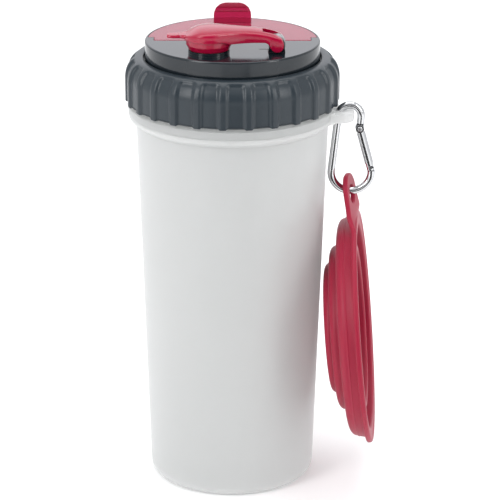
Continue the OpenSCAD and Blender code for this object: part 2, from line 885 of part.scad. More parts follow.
module bowl_tab() {
    translate([0, tab_root, -rim_t / 2])
        rotate([-tab_lean_in, 0, 0])
            rotate([0, tab_twist, 0])
                translate([0, 0, -tab_thick / 2])
                    difference() {
                        linear_extrude(tab_thick)
                            union() {
                                translate([0, hole_reach + tab_over])
                                    circle(r = bowl_tab_r);
                                polygon([[-bowl_tab_r - 8, -4], [-bowl_tab_r - 1.5, 4],
                                         [-bowl_tab_r, hole_reach + tab_over],
                                         [bowl_tab_r, hole_reach + tab_over],
                                         [bowl_tab_r + 1.5, 4], [bowl_tab_r + 8, -4]]);
                            }
                        translate([0, hole_reach, -1])
                            cylinder(r = bowl_hole_r, h = rim_t + 2, $fn = 64);
                    }
}

module bowl_rim() {
    color("firebrick")
    hang_bowl()
        union() {
            rotate_extrude()
                polygon(concat(
                    [[ring_r - ring_t, 0]],
                    arc(bowl_r - rim_t / 2, -rim_t / 2, rim_t / 2, 90, -90, 6),
                    [[ring_r + ring_taper + 0.4, -rim_t], [ring_r + ring_taper, -rim_t - 0.8]],
                    arc(ring_r - 3, -ring_d + 3, 3, 0, -90, 6),
                    [[ring_r - ring_t - lip_in, -ring_d],
                     [ring_r - ring_t - lip_in, -ring_d + 1.3],
                     [ring_r - ring_t, -ring_d + ring_t + 0.4]]));
            bowl_tab();
        }
}

module bowl_fold_outer() {
    color("firebrick")
    hang_bowl()
        rotate_extrude()
            web_section(ring_r - ring_t - lip_in, ring_d - web_end,
                        step_r + soft_gap, step_top + 1);
}

module bowl_step() {
    color("firebrick")
    hang_bowl()
        rotate_extrude()
            ring_section(step_r, step_top, step_d, ring_t, 6);
}

module bowl_fold_inner() {
    color("firebrick")
    hang_bowl()
        rotate_extrude()
            web_section(step_r - ring_t - lip_in, step_d - web_end,
                        cup_r + soft_gap, cup_top + 1);
}

module bowl_base() {
    color("firebrick")
    hang_bowl()
        rotate_extrude()
            polygon(concat(
                [[0, -cup_d + cup_floor], [cup_r - ring_t - 2, -cup_d + cup_floor]],
                arc(cup_r - ring_t - 2, -cup_d + cup_floor + 2, 2, -90, 0, 4),
                arc(cup_r - ring_t / 2, -cup_top - ring_t / 2, ring_t / 2, 180, 0, 6),
                arc(cup_r - 3, -cup_d + 3, 3, 0, -90, 6),
                [[0, -cup_d]]));
}

bottle_body();
screw_collar();
lid_plate();
lid_gasket();
food_flap();
flap_seal();
spout_arm();
spout_plug();
arm_pin();
carabiner_body();
carabiner_gate();
gate_pivot_rivet();
nose_pin();
gate_spring();
gate_plunger();
bowl_rim();
bowl_fold_outer();
bowl_step();
bowl_fold_inner();
bowl_base();
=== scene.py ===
import math

import bmesh
import bpy
import numpy as np
from mathutils import Matrix, Vector

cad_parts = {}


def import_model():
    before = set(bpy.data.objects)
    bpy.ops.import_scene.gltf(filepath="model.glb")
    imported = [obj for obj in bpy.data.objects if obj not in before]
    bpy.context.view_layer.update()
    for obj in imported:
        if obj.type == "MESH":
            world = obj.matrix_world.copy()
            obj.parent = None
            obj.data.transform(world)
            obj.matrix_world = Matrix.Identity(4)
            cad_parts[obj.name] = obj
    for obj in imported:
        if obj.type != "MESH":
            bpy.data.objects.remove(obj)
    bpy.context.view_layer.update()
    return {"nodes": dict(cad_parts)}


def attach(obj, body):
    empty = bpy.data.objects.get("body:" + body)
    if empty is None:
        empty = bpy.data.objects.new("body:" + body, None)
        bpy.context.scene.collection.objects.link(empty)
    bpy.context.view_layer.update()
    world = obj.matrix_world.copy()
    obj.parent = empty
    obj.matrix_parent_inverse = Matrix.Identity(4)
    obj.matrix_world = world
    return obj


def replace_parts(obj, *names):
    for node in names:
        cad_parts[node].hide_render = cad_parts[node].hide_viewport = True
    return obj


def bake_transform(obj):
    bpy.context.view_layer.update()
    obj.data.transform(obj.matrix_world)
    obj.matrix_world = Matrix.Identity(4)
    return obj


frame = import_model()
MM = 0.001

# Levels, radii and places of the CAD part, in millimetres, and its angles in radians
LEDGE_Z = 203.4
NECK_Z = 223.4
COLLAR_Z = LEDGE_Z + 1.0
COLLAR_TOP = 228.1
DISC_Z = COLLAR_TOP + 8.4
NECK_R = 48.6
BAND_R = NECK_R + 4.5
CREST_R = 54.8
RIB_COUNT = 26
FIRST_RIB = math.radians(8.6 - 90)
SPOUT = (-11.8, -24.6)
SPOUT_R = 10.4
PAD_R = SPOUT_R + 2.2
PIVOT = (22.1, -22.7, DISC_Z + 4.2)
LEG_R = 3.3
PIN_BORE_R = 1.33
BARREL_HALF = 3.1
COLLAR_BORE_R = 50.8
THREAD_PITCH = 4.0
LUG_ANGLE = math.radians(12.6)
FLAP_R = 43.1
CARAB_Y = -12.24


# Small tools for outlines
def fillet(points, n=6):
    """A polyline of (x, y, radius) with every corner of radius > 0 turned into an arc."""
    out = []
    count = len(points)
    for i, (x, y, r) in enumerate(points):
        if r <= 0 or i in (0, count - 1):
            out.append((x, y))
            continue
        p = np.array((x, y), float)
        a = np.array(points[i - 1][:2], float) - p
        b = np.array(points[i + 1][:2], float) - p
        la, lb = np.linalg.norm(a), np.linalg.norm(b)
        a, b = a / la, b / lb
        half = math.acos(max(-1, min(1, float(a @ b)))) / 2
        if half > math.pi / 2 - 0.02:
            out.append((x, y))
            continue
        cut = min(r / math.tan(half), la * 0.49, lb * 0.49)
        r = cut * math.tan(half)
        c = p + (a + b) / np.linalg.norm(a + b) * (r / math.sin(half))
        s = p + a * cut - c
        e = p + b * cut - c
        t0, t1 = math.atan2(s[1], s[0]), math.atan2(e[1], e[0])
        d = (t1 - t0 + math.pi) % (2 * math.pi) - math.pi
        for k in range(n + 1):
            t = t0 + d * k / n
            out.append((c[0] + r * math.cos(t), c[1] + r * math.sin(t)))
    return out


def smooth(t):
    t = np.clip(t, 0, 1)
    return t * t * (3 - 2 * t)


def resample(points, step):
    """Points at an even spacing along a polyline."""
    p = np.array(points, float)
    d = np.r_[0, np.cumsum(np.linalg.norm(np.diff(p, axis=0), axis=1))]
    n = max(2, int(round(d[-1] / step)))
    t = np.linspace(0, d[-1], n + 1)
    return np.c_[np.interp(t, d, p[:, 0]), np.interp(t, d, p[:, 1])]


# Small tools for meshes
def piece(name, verts, faces, mat, body=None, angle=40):
    """A mesh in millimetres of the row frame, smooth except at edges sharper than angle."""
    me = bpy.data.meshes.new(name)
    me.from_pydata([tuple(float(c) * MM for c in v) for v in verts], [], faces)
    me.validate()
    bm = bmesh.new()
    bm.from_mesh(me)
    bmesh.ops.recalc_face_normals(bm, faces=bm.faces)
    bm.to_mesh(me)
    bm.free()
    me.shade_smooth()
    if angle:
        me.set_sharp_from_angle(angle=math.radians(angle))
    me.materials.append(mat)
    o = bpy.data.objects.new(name, me)
    bpy.context.scene.collection.objects.link(o)
    if body:
        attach(o, body)
    return o


def net(rows, closed_rows=False, closed_cols=True):
    """Quads between rows of points, each with the same number of columns."""
    nr, nc = len(rows), len(rows[0])
    verts = [v for row in rows for v in row]
    faces = []
    for i in range(nr if closed_rows else nr - 1):
        for j in range(nc if closed_cols else nc - 1):
            a, b = i * nc + j, i * nc + (j + 1) % nc
            c, d = ((i + 1) % nr) * nc + (j + 1) % nc, ((i + 1) % nr) * nc + j
            faces.append((a, b, c, d))
    return verts, faces


def capped(rows):
    """A net with a flat face over its first row and its last."""
    verts, faces = net(rows)
    nc = len(rows[0])
    faces += [tuple(range(nc))[::-1], tuple(range(len(verts) - nc, len(verts)))]
    return verts, faces


def lathe(name, profile, mat, body=None, n=192, to_frame=None, closed=True, angle=40):
    """A profile of (radius, height) turned about an axis; to_frame places it."""
    rows = []
    for r, z in profile:
        row = [(r * math.cos(2 * math.pi * k / n), r * math.sin(2 * math.pi * k / n), z)
               for k in range(n)]
        rows.append([to_frame(v) for v in row] if to_frame else row)
    verts, faces = net(rows, closed_rows=closed)
    return piece(name, verts, faces, mat, body, angle)


def cut_with(target, *cutters):
    """Takes the cutters away from the target, exactly, and removes them."""
    for c in cutters:
        m = target.modifiers.new("cut", "BOOLEAN")
        m.operation, m.solver, m.object = "DIFFERENCE", "EXACT", c
    apply_all(target)
    for c in cutters:
        bpy.data.objects.remove(c)


def apply_all(o):
    """Puts the modified mesh in place of the object's own."""
    dg = bpy.context.evaluated_depsgraph_get()
    me = bpy.data.meshes.new_from_object(o.evaluated_get(dg))
    o.modifiers.clear()
    o.data = me


def one_skin(o, mat, angle):
    """One material and one shading for a mesh that a cut or a join has changed."""
    o.data.materials.clear()
    o.data.materials.append(mat)
    o.data.shade_smooth()
    o.data.set_sharp_from_angle(angle=math.radians(angle))


def block(lo, hi):
    """A box to cut with."""
    x0, y0, z0 = lo
    x1, y1, z1 = hi
    v = [(x0, y0, z0), (x1, y0, z0), (x1, y1, z0), (x0, y1, z0),
         (x0, y0, z1), (x1, y0, z1), (x1, y1, z1), (x0, y1, z1)]
    f = [(3, 2, 1, 0), (4, 5, 6, 7), (0, 1, 5, 4), (1, 2, 6, 5), (2, 3, 7, 6), (3, 0, 4, 7)]
    return piece("cutter", v, f, spare, None, 0)


def rod_y(x, z, r, y0, y1, n=48):
    """A rod along Y to cut with."""
    ring = [(x + r * math.cos(2 * math.pi * k / n), z + r * math.sin(2 * math.pi * k / n))
            for k in range(n)]
    verts = [(px, y0, pz) for px, pz in ring] + [(px, y1, pz) for px, pz in ring]
    faces = [(k, (k + 1) % n, n + (k + 1) % n, n + k) for k in range(n)]
    faces += [tuple(range(n))[::-1], tuple(range(n, 2 * n))]
    return piece("cutter", verts, faces, spare, None, 0)


def at_spout(v):
    """A point given from the spout's axis, in the row frame."""
    return v[0] + SPOUT[0], v[1] + SPOUT[1], v[2]


# Camera
def place_camera():
    """The perspective camera that was fitted to the photograph; angles in radians."""
    pitch, yaw, roll = 0.351, 0.010, 0.004
    focal_px, photo_px = 2370.13, 500.0
    right = Vector((math.cos(yaw), -math.sin(yaw), 0))
    ahead = Vector((math.sin(yaw) * math.cos(pitch), math.cos(yaw) * math.cos(pitch),
                    -math.sin(pitch)))
    up = right.cross(ahead)
    x = right * math.cos(roll) + up * math.sin(roll)
    y = up * math.cos(roll) - right * math.sin(roll)
    m = Matrix((x, y, -ahead)).transposed().to_4x4()
    m.translation = Vector((-0.00238, -1.16685, 0.54973))
    data = bpy.data.cameras.new("camera")
    data.sensor_width = 36.0
    data.lens = data.sensor_width * focal_px / photo_px
    data.clip_start, data.clip_end = 0.05, 50
    cam = bpy.data.objects.new("camera", data)
    bpy.context.scene.collection.objects.link(cam)
    cam.matrix_world = m
    bpy.context.scene.camera = cam


# Materials
def new_material(name):
    m = bpy.data.materials.new(name)
    m.use_nodes = True
    nt = m.node_tree
    bsdf = next(n for n in nt.nodes if n.type == "BSDF_PRINCIPLED")
    return m, nt, bsdf


def noise(nt, scale, detail=3.0, stretch=None):
    """A noise texture on the object's own coordinates."""
    tc = nt.nodes.new("ShaderNodeTexCoord")
    n = nt.nodes.new("ShaderNodeTexNoise")
    n.inputs["Scale"].default_value = scale
    n.inputs["Detail"].default_value = detail
    if stretch:
        mp = nt.nodes.new("ShaderNodeMapping")
        mp.inputs["Scale"].default_value = stretch
        nt.links.new(tc.outputs["Object"], mp.inputs["Vector"])
        nt.links.new(mp.outputs["Vector"], n.inputs["Vector"])
    else:
        nt.links.new(tc.outputs["Object"], n.inputs["Vector"])
    return n.outputs["Fac"]


def surface(name, color, rough, bump=0.05, scale=900.0, var=0.05, rvar=0.05, round_r=0.0,
            wave=0.0, stretch=None, **sockets):
    """A made surface: colour with faint blotches, uneven gloss, a fine skin, eased edges."""
    m, nt, b = new_material(name)
    soft = noise(nt, 38.0, 4.0, stretch)
    mix = nt.nodes.new("ShaderNodeMix")
    mix.data_type = "RGBA"
    mix.inputs["A"].default_value = (*[c * (1 - var) for c in color], 1)
    mix.inputs["B"].default_value = (*[min(1, c * (1 + var)) for c in color], 1)
    nt.links.new(soft, mix.inputs["Factor"])
    nt.links.new(mix.outputs["Result"], b.inputs["Base Color"])
    rr = nt.nodes.new("ShaderNodeMapRange")
    rr.inputs["To Min"].default_value = max(0.02, rough - rvar)
    rr.inputs["To Max"].default_value = min(1, rough + rvar)
    nt.links.new(soft, rr.inputs["Value"])
    nt.links.new(rr.outputs["Result"], b.inputs["Roughness"])
    normal = None
    if round_r:
        bev = nt.nodes.new("ShaderNodeBevel")
        bev.samples = 4
        bev.inputs["Radius"].default_value = round_r * MM
        normal = bev.outputs["Normal"]
    for height, strength, far in ((noise(nt, 60.0, 2.0, stretch), wave, 0.002),
                                  (noise(nt, scale), bump, 0.0002)):
        if strength <= 0:
            continue
        bp = nt.nodes.new("ShaderNodeBump")
        bp.inputs["Strength"].default_value = strength
        bp.inputs["Distance"].default_value = far
        nt.links.new(height, bp.inputs["Height"])
        if normal:
            nt.links.new(normal, bp.inputs["Normal"])
        normal = bp.outputs["Normal"]
    if normal:
        nt.links.new(normal, b.inputs["Normal"])
    for k, v in sockets.items():
        b.inputs[k.replace("_", " ")].default_value = v
    return m


spare, _, _ = new_material("spare")
# Milky plastic whose emission is a painted glow: light standing in for what the walls carry, lifting the
# shade beside the bowl.
MILKY_PAINTED_GLOW = surface("milky_plastic", (0.45, 0.452, 0.447), 0.42, bump=0.12, var=0.012, round_r=0.5,
                Subsurface_Weight=0.9, Subsurface_Radius=(0.03, 0.03, 0.03), Subsurface_Scale=1.0,
                Emission_Color=(0.97, 1, 1, 1), Emission_Strength=0.14)
GREY = surface("grey_plastic", (0.025, 0.034, 0.042), 0.30, bump=0.10, var=0.06,
               Specular_IOR_Level=0.4)
GLOSS = surface("grey_gloss", (0.010, 0.015, 0.020), 0.11, bump=0.02, round_r=0.35, IOR=1.5)
# The hinge barrel is the lid's dark grey plastic; its lighter colour is a painted highlight for the light
# the glossy knuckle catches.
BARREL_PAINTED_HIGHLIGHT = surface("grey_barrel_painted_highlight", (0.20, 0.215, 0.22), 0.16, bump=0.02, IOR=1.6)
WHITE = surface("white_silicone", (0.70, 0.70, 0.68), 0.55, bump=0.2)
# Clear red plastic; its red emission is a painted glow, since the part is no lamp.
RED_CLEAR_PAINTED_GLOW = surface("red_clear", (0.44, 0.016, 0.075), 0.10, bump=0.01, round_r=0.3, IOR=1.42,
                Transmission_Weight=0.6, Emission_Color=(0.75, 0.06, 0.13, 1), Emission_Strength=0.05)
RED = surface("red_plastic", (0.36, 0.0004, 0.032), 0.15, bump=0.02, round_r=0.25, IOR=1.55,
              Subsurface_Weight=0.2, Subsurface_Radius=(0.003, 0.0008, 0.0008),
              Subsurface_Scale=1.0)
RUBBER = surface("red_silicone", (0.33, 0.008, 0.036), 0.44, bump=0.25, var=0.10, round_r=0.5,
                 wave=0.06, stretch=(6, 1, 1), Subsurface_Weight=0.15,
                 Subsurface_Radius=(0.003, 0.0006, 0.0006), Subsurface_Scale=1.0,
                 Specular_IOR_Level=0.32)
STEEL = surface("steel_pin", (0.50, 0.50, 0.51), 0.28, bump=0.05, Metallic=1.0)
CHROME = surface("polished_metal", (0.66, 0.665, 0.675), 0.09, bump=0.01, var=0.01, rvar=0.03,
                 round_r=0.25, Metallic=1.0, Specular_Tint=(0.22, 0.23, 0.25, 1))
NODE_MATERIAL = {
    "bottle_body": MILKY_PAINTED_GLOW, "screw_collar": GREY, "lid_plate": GLOSS, "lid_gasket": WHITE,
    "flap_seal": WHITE, "spout_plug": WHITE, "food_flap": RED_CLEAR_PAINTED_GLOW, "spout_arm": RED,
}


def paint_nodes():
    for n, o in frame["nodes"].items():
        mat = NODE_MATERIAL.get(n)
        if mat is None:
            mat = RUBBER if n.startswith("bowl") else CHROME if n.startswith("carabiner") else STEEL
        o.data.materials.clear()
        o.data.materials.append(mat)


# The collar: one turned shell whose panels sink between the ribs
def collar():
    shoulder_z, shoulder_r, shoulder_h = 217.1, 8, 11
    outer = fillet([(51.3, COLLAR_Z, 0), (CREST_R, COLLAR_Z, 0.7), (CREST_R, shoulder_z, 0)], 5)
    outer = outer + [(CREST_R - shoulder_r + shoulder_r * math.cos(t),
                      shoulder_z + shoulder_h * math.sin(t))
                     for t in np.linspace(0.03, math.pi / 2, 24)]
    outer = resample(outer, 0.55)
    s = np.r_[0, np.cumsum(np.linalg.norm(np.diff(outer, axis=0), axis=1))]
    tangent = np.gradient(outer, axis=0)
    tangent /= np.linalg.norm(tangent, axis=1)[:, None]
    normal = np.c_[tangent[:, 1], -tangent[:, 0]]
    per_rib = 18
    n = RIB_COUNT * per_rib
    depth, crest_w, flank, corner = 1.25, 2.7, 1.7, 2.6
    top = s[-1] - 3.0
    rows = [[] for _ in s]
    pitch = 2 * math.pi / RIB_COUNT
    for k in range(n):
        a = FIRST_RIB + pitch * k / per_rib
        u = abs((k / per_rib + 0.5) % 1.0 - 0.5) * pitch
        for i, (r, z) in enumerate(outer):
            from_middle = (pitch / 2 - u) * r
            half = pitch * r / 2 - crest_w / 2 * (r / CREST_R)
            qx = from_middle - half + corner
            qy = s[i] - top + corner
            sd = math.hypot(max(qx, 0), max(qy, 0)) + min(max(qx, qy), 0) - corner
            d = depth * float(smooth(-sd / flank))
            d *= float(smooth((s[i] - 0.4) / 2.0)) if s[i] < 2.4 else 1.0
            rr, zz = r - normal[i, 0] * d, z - normal[i, 1] * d
            rows[i].append((rr * math.cos(a), rr * math.sin(a), zz))
    lip_r, seat_r = 45.3, 49.0
    lip_z, seat_z = 226.5, 221.4
    inner = [(lip_r + 0.3, COLLAR_TOP), (lip_r, COLLAR_TOP - 0.3), (lip_r, lip_z), (seat_r, lip_z),
             (seat_r, seat_z), (COLLAR_BORE_R, seat_z), (COLLAR_BORE_R, COLLAR_Z + 0.4),
             (COLLAR_BORE_R + 0.3, COLLAR_Z)]
    for r, z in inner:
        rows.append([(r * math.cos(FIRST_RIB + pitch * k / per_rib),
                      r * math.sin(FIRST_RIB + pitch * k / per_rib), z) for k in range(n)])
    verts, faces = net(rows, closed_rows=True)
    o = piece("collar_shell", verts, faces, GREY, "collar", 50)
    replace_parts(o, "screw_collar")


def band_strip():
    """The upper strip of the band, which stands a hair proud over a fine line."""
    inner_r, proud_r = BAND_R - 0.5, BAND_R + 0.28
    high, low = LEDGE_Z - 0.3, LEDGE_Z - 4.6
    prof = fillet([(inner_r, high, 0), (proud_r, high, 0.5), (proud_r, low + 0.3, 0.35),
                   (BAND_R - 0.2, low, 0.2), (inner_r, low, 0)], 5)
    n = 240
    gap = 0.17
    angles = np.linspace(-LUG_ANGLE + gap, 2 * math.pi - LUG_ANGLE - gap, n)
    rows = [[(r * math.cos(a), r * math.sin(a), z) for r, z in prof] for a in angles]
    verts, faces = capped(rows)
    piece("band_strip", verts, faces, MILKY_PAINTED_GLOW, "bottle", 40)


def helix(name, r, z0, turns, pitch, height, width, mat, body, inward=False):
    """A ridge wound round the axis, faded at both ends, for a thread."""
    steps = int(72 * turns)
    rows = []
    for i in range(steps + 1):
        t = i / steps
        a = 2 * math.pi * turns * t
        z = z0 + pitch * turns * t
        h = height * float(smooth(min(t, 1 - t) * steps / 10.0)) + 0.02
        side = -1 if inward else 1
        section = [(-0.3 * side, -width / 2), (h * side, -width / 5), (h * side, width / 5),
                   (-0.3 * side, width / 2)]
        rows.append([((r + dr) * math.cos(a), (r + dr) * math.sin(a), z + dz) for dr, dz in section])
    verts, faces = capped(rows)
    return piece(name, verts, faces, mat, body, 35)


def threads():
    """The thread outside the neck and the one inside the collar."""
    helix("neck_thread", NECK_R, LEDGE_Z + 5.5, 2.4, THREAD_PITCH, 1.5, 2.6, MILKY_PAINTED_GLOW, "bottle")
    helix("collar_thread", COLLAR_BORE_R, COLLAR_Z + 2.6, 2.0, THREAD_PITCH, 1.1, 2.0, GREY,
                  "collar", True)


# The arm: sections along x from the pad to the legs
def crown(x):
    """The height of the arm's upper edge: a long arch that falls at the pad and the hinge."""
    arch = (x - SPOUT[0] - 5) ** 2 / 300
    fall_at_pad = 1.7 * max(0, (SPOUT[0] - x) / PAD_R) ** 2
    fall_at_hinge = 0.9 * max(0, (x - PIVOT[0] + 8) / 10) ** 2
    return DISC_Z + 11.7 - arch - fall_at_pad - fall_at_hinge


def arm():
    """The pad, the S-shaped beam and the two legs, as one skin."""
    cx, cy = SPOUT
    pad_low = DISC_Z + 7.2
    beam_low = DISC_Z + 5.9
    beam_end, turn_r = 14.5, 3.4
    full_leg_x = PIVOT[0] - LEG_R
    turn_x = full_leg_x - turn_r
    xs = list(cx - PAD_R * np.cos(np.linspace(0.02, 1.35, 26)))
    xs += list(np.linspace(xs[-1], beam_end, 44)[1:])
    xs += list(np.linspace(beam_end, full_leg_x, 16)[1:])
    xs += list(PIVOT[0] + LEG_R * np.sin(np.linspace(-math.pi / 2, math.pi / 2, 26)))[1:]
    front_x = [cx, cx + 3, cx + 6, cx + 9, cx + 12, cx + 15, cx + 18, cx + 22, 40]
    front_y = [cy - PAD_R, cy - 12.3, -35.7, -34.1, -32.6, -31.4, -30.6, -29.9, -29.7]
    back_x = [cx, cx + 4, cx + 8, cx + 12, cx + 16, cx + 20, 40]
    back_y = [cy + PAD_R, cy + 12.0, -14.2, -15.1, -15.6, -15.7, -15.7]
    rows = []
    for x in xs:
        chord = math.sqrt(max(0.04, PAD_R ** 2 - (x - cx) ** 2)) if x < cx + PAD_R else 0.0
        yf = min(cy - chord, float(np.interp(x, front_x, front_y))) if x > cx else cy - chord
        yb = max(cy + chord, float(np.interp(x, back_x, back_y))) if x > cx else cy + chord
        edge_top = crown(min(x, PIVOT[0] + 1.2))
        if x > PIVOT[0] + 1.2:
            t = (x - PIVOT[0] - 1.2) / (LEG_R - 1.2)
            edge_top -= (edge_top - PIVOT[2]) * (1 - math.sqrt(max(0, 1 - t * t)))
        low = pad_low + (beam_low - pad_low) * float(smooth((x - (cx + PAD_R - 6)) / 5))
        if x > turn_x:
            t = min(1, (x - turn_x) / turn_r)
            low = beam_low - turn_r * (1 - math.sqrt(max(0, 1 - t * t)))
        if x > full_leg_x + 0.02:
            low = PIVOT[2] - math.sqrt(max(0, LEG_R ** 2 - (x - PIVOT[0]) ** 2))
        low = min(low, edge_top - 0.05)
        w = yb - yf
        on_pad = float(1 - smooth((x - cx - 2) / 14))
        dome = (1.5 * on_pad + 0.9 * (1 - on_pad)) * float(smooth((x - xs[0]) / 8))
        dome *= 1 - float(smooth((x - 21) / 4))
        r = min(0.55, w * 0.2, (edge_top - low) * 0.3)
        row = [(x, yf + r, low), (x, yf + 0.25 * r, low + 0.25 * r), (x, yf, low + r),
               (x, yf, edge_top - 1.2 * r), (x, yf + 0.3 * r, edge_top - 0.35 * r),
               (x, yf + r, edge_top + 0.1 * r)]
        m = 14
        for k in range(1, m):
            v = k / m
            ridge = dome * (1 - abs(2 * v - 1) ** 2.2)
            row.append((x, yf + r + (w - 2 * r) * v, edge_top + 0.1 * r + ridge))
        row += [(x, yb - r, edge_top + 0.1 * r), (x, yb - 0.3 * r, edge_top - 0.35 * r),
                (x, yb, edge_top - 1.2 * r), (x, yb, low + r), (x, yb - 0.25 * r, low + 0.25 * r),
                (x, yb - r, low)]
        rows.append(row)
    verts, faces = capped(rows)
    o = piece("arm_shell", verts, faces, RED, None, 38)
    slot_half = BARREL_HALF + 0.3
    cut_with(o, block((PIVOT[0] - 7.2, PIVOT[1] - slot_half, DISC_Z - 1),
                      (PIVOT[0] + 8, PIVOT[1] + slot_half, DISC_Z + 20)),
             rod_y(PIVOT[0], PIVOT[2], PIN_BORE_R, PIVOT[1] - 5.8, PIVOT[1] + 9))
    one_skin(o, RED, 38)
    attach(o, "arm")
    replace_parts(o, "spout_arm")


def arm_cap():
    """The skirt of the cap over the spout, with a step and an inward taper."""
    low, high = DISC_Z + 1.8, DISC_Z + 8.2
    prof = fillet([(8.8, high, 0), (8.8, low, 0.3), (10.2, low, 0.35), (11.0, low + 1.9, 0.3),
                   (11.5, low + 2.6, 0.5), (11.5, high, 0)], 5)
    o = lathe("cap_skirt", prof, RED, "arm", 120, at_spout)


def thumb():
    """The thumb tab, a thin rounded plate with a grip ridge."""
    length, tip_r, e = 8.2, 3.2, 0.5
    x0, x1 = SPOUT[0] - PAD_R - length, SPOUT[0] - 10.0
    cy = SPOUT[1]
    low = DISC_Z + 7.6
    tip_xs = x0 + tip_r * (1 - np.cos(np.linspace(0.05, math.pi / 2, 10)))
    rows = []
    for x in np.r_[tip_xs, np.linspace(x0 + tip_r + 0.4, x1, 14)]:
        t = min(1, max(0.0, (x - x0) / tip_r))
        half = 1.5 + 1.5 * math.sqrt(max(0, 1 - (1 - t) ** 2)) + 1.6 * float(smooth((x - x0 - 6) / 4))
        z = low + 1.5 + 0.45 * float(smooth((x - x0 - 6) / 3))
        z += 0.3 * math.exp(-((x - x0 - 5.6) / 0.5) ** 2)
        rows.append([(x, cy - half + e, low), (x, cy - half, low + e), (x, cy - half, z - e - 0.1),
                     (x, cy - half + e, z), (x, cy, z + 0.12), (x, cy + half - e, z),
                     (x, cy + half, z - e - 0.1), (x, cy + half, low + e), (x, cy + half - e, low)])
    verts, faces = capped(rows)
    piece("thumb_tab", verts, faces, RED, "arm", 45)


def roller():
    """The barrel between the arm's legs."""
    bore_r, barrel_r, half = 1.6, 4.3, BARREL_HALF
    prof = fillet([(bore_r, -half, 0), (barrel_r, -half, 0.5), (barrel_r, half, 0.5),
                   (bore_r, half, 0)], 5)
    # The barrel's light grey is a painted highlight on the lid's dark grey plastic.
    o = lathe("hinge_barrel", prof, BARREL_PAINTED_HIGHLIGHT, "lid", 96,
              lambda v: (PIVOT[0] + v[0], PIVOT[1] + v[2], PIVOT[2] + v[1]))


def lift_tab():
    """The grip of the flap's tab: a raised pad over a cross ridge, on its front face."""
    lean = math.radians(15)
    y0, z0 = 0.73 * FLAP_R, DISC_Z - 0.9

    def on_tab(x, u, out):
        return (x, y0 + u * math.sin(lean) - out * math.cos(lean),
                z0 + u * math.cos(lean) + out * math.sin(lean))

    for name, u0, u1, high, half, round_end in (("tab_pad", 8.9, 11.4, 0.5, 8.6, 5.2),
                                                ("tab_ridge", 6.9, 7.7, 0.45, 8.9, 0.0)):
        rows = []
        for x in np.linspace(-1, 1, 41):
            inset = round_end * (1 - math.sqrt(1 - max(0, (abs(x) - 0.35) / 0.65) ** 2))
            top = max(u0 + 0.3, u1 - inset)
            end = float(smooth((1 - abs(x)) / 0.06))
            h = high * end + 0.02
            rows.append([on_tab(half * x, u0, -0.2), on_tab(half * x, u0, h * 0.6),
                         on_tab(half * x, u0 + 0.15, h), on_tab(half * x, top - 0.25, h),
                         on_tab(half * x, top, h * 0.5), on_tab(half * x, top, -0.2)])
        verts, faces = capped(rows)
        piece(name, verts, faces, RED_CLEAR_PAINTED_GLOW, "flap", 50)


# The bowl's own frame: x across, y up, z out of the open side, zero in the rim's middle
BOWL_HANG = Vector((60.55, CARAB_Y, 157.85))
BOWL_HOLE = 73.4
BOWL_TILT = math.radians(5.4)
BOWL_YAW = math.radians(4.8)
RIM_R = 61.2
TAB_ROOT = 58.2
TAB_LEAN = BOWL_TILT
TAB_MID = 1.4
TAB_TWIST = math.radians(9.5)
HOLE_R = 4.8
HOLE_Y = (BOWL_HOLE - TAB_ROOT) / math.cos(TAB_LEAN)
BOWL_SHIFT = Vector((0, -BOWL_HOLE, TAB_MID + HOLE_Y * math.sin(TAB_LEAN)))
BOWL_TURN = (Matrix.Rotation(-BOWL_YAW, 3, "Z") @ Matrix.Rotation(-BOWL_TILT, 3, "Y")
             @ Matrix(((0, 0, 1), (1, 0, 0), (0, 1, 0))))


def in_bowl(v):
    """A point of the bowl's own frame, where it hangs in the row frame."""
    return BOWL_HANG + BOWL_TURN @ (Vector(v) + BOWL_SHIFT)


def corner(r0, z0, dr, dz, n=14):
    """A quarter ellipse from the wall (r0 + dr, z0) to the back (r0, z0 - dz)."""
    return [(r0 + dr * math.cos(t), z0 - dz * math.sin(t)) for t in np.linspace(0, math.pi / 2, n)]


def in_tab(x, y, z):
    """A point of the flat tab, twisted above its root and leaned back, in the row frame."""
    twist = -TAB_TWIST * float(smooth((y + 1) / 8))
    x, z = (x * math.cos(twist) + z * math.sin(twist), z * math.cos(twist) - x * math.sin(twist))
    lean = TAB_LEAN * float(smooth((y + 4) / 8))
    return in_bowl((x, TAB_ROOT + y * math.cos(lean) + z * math.sin(lean),
                    z * math.cos(lean) - y * math.sin(lean) - TAB_MID))


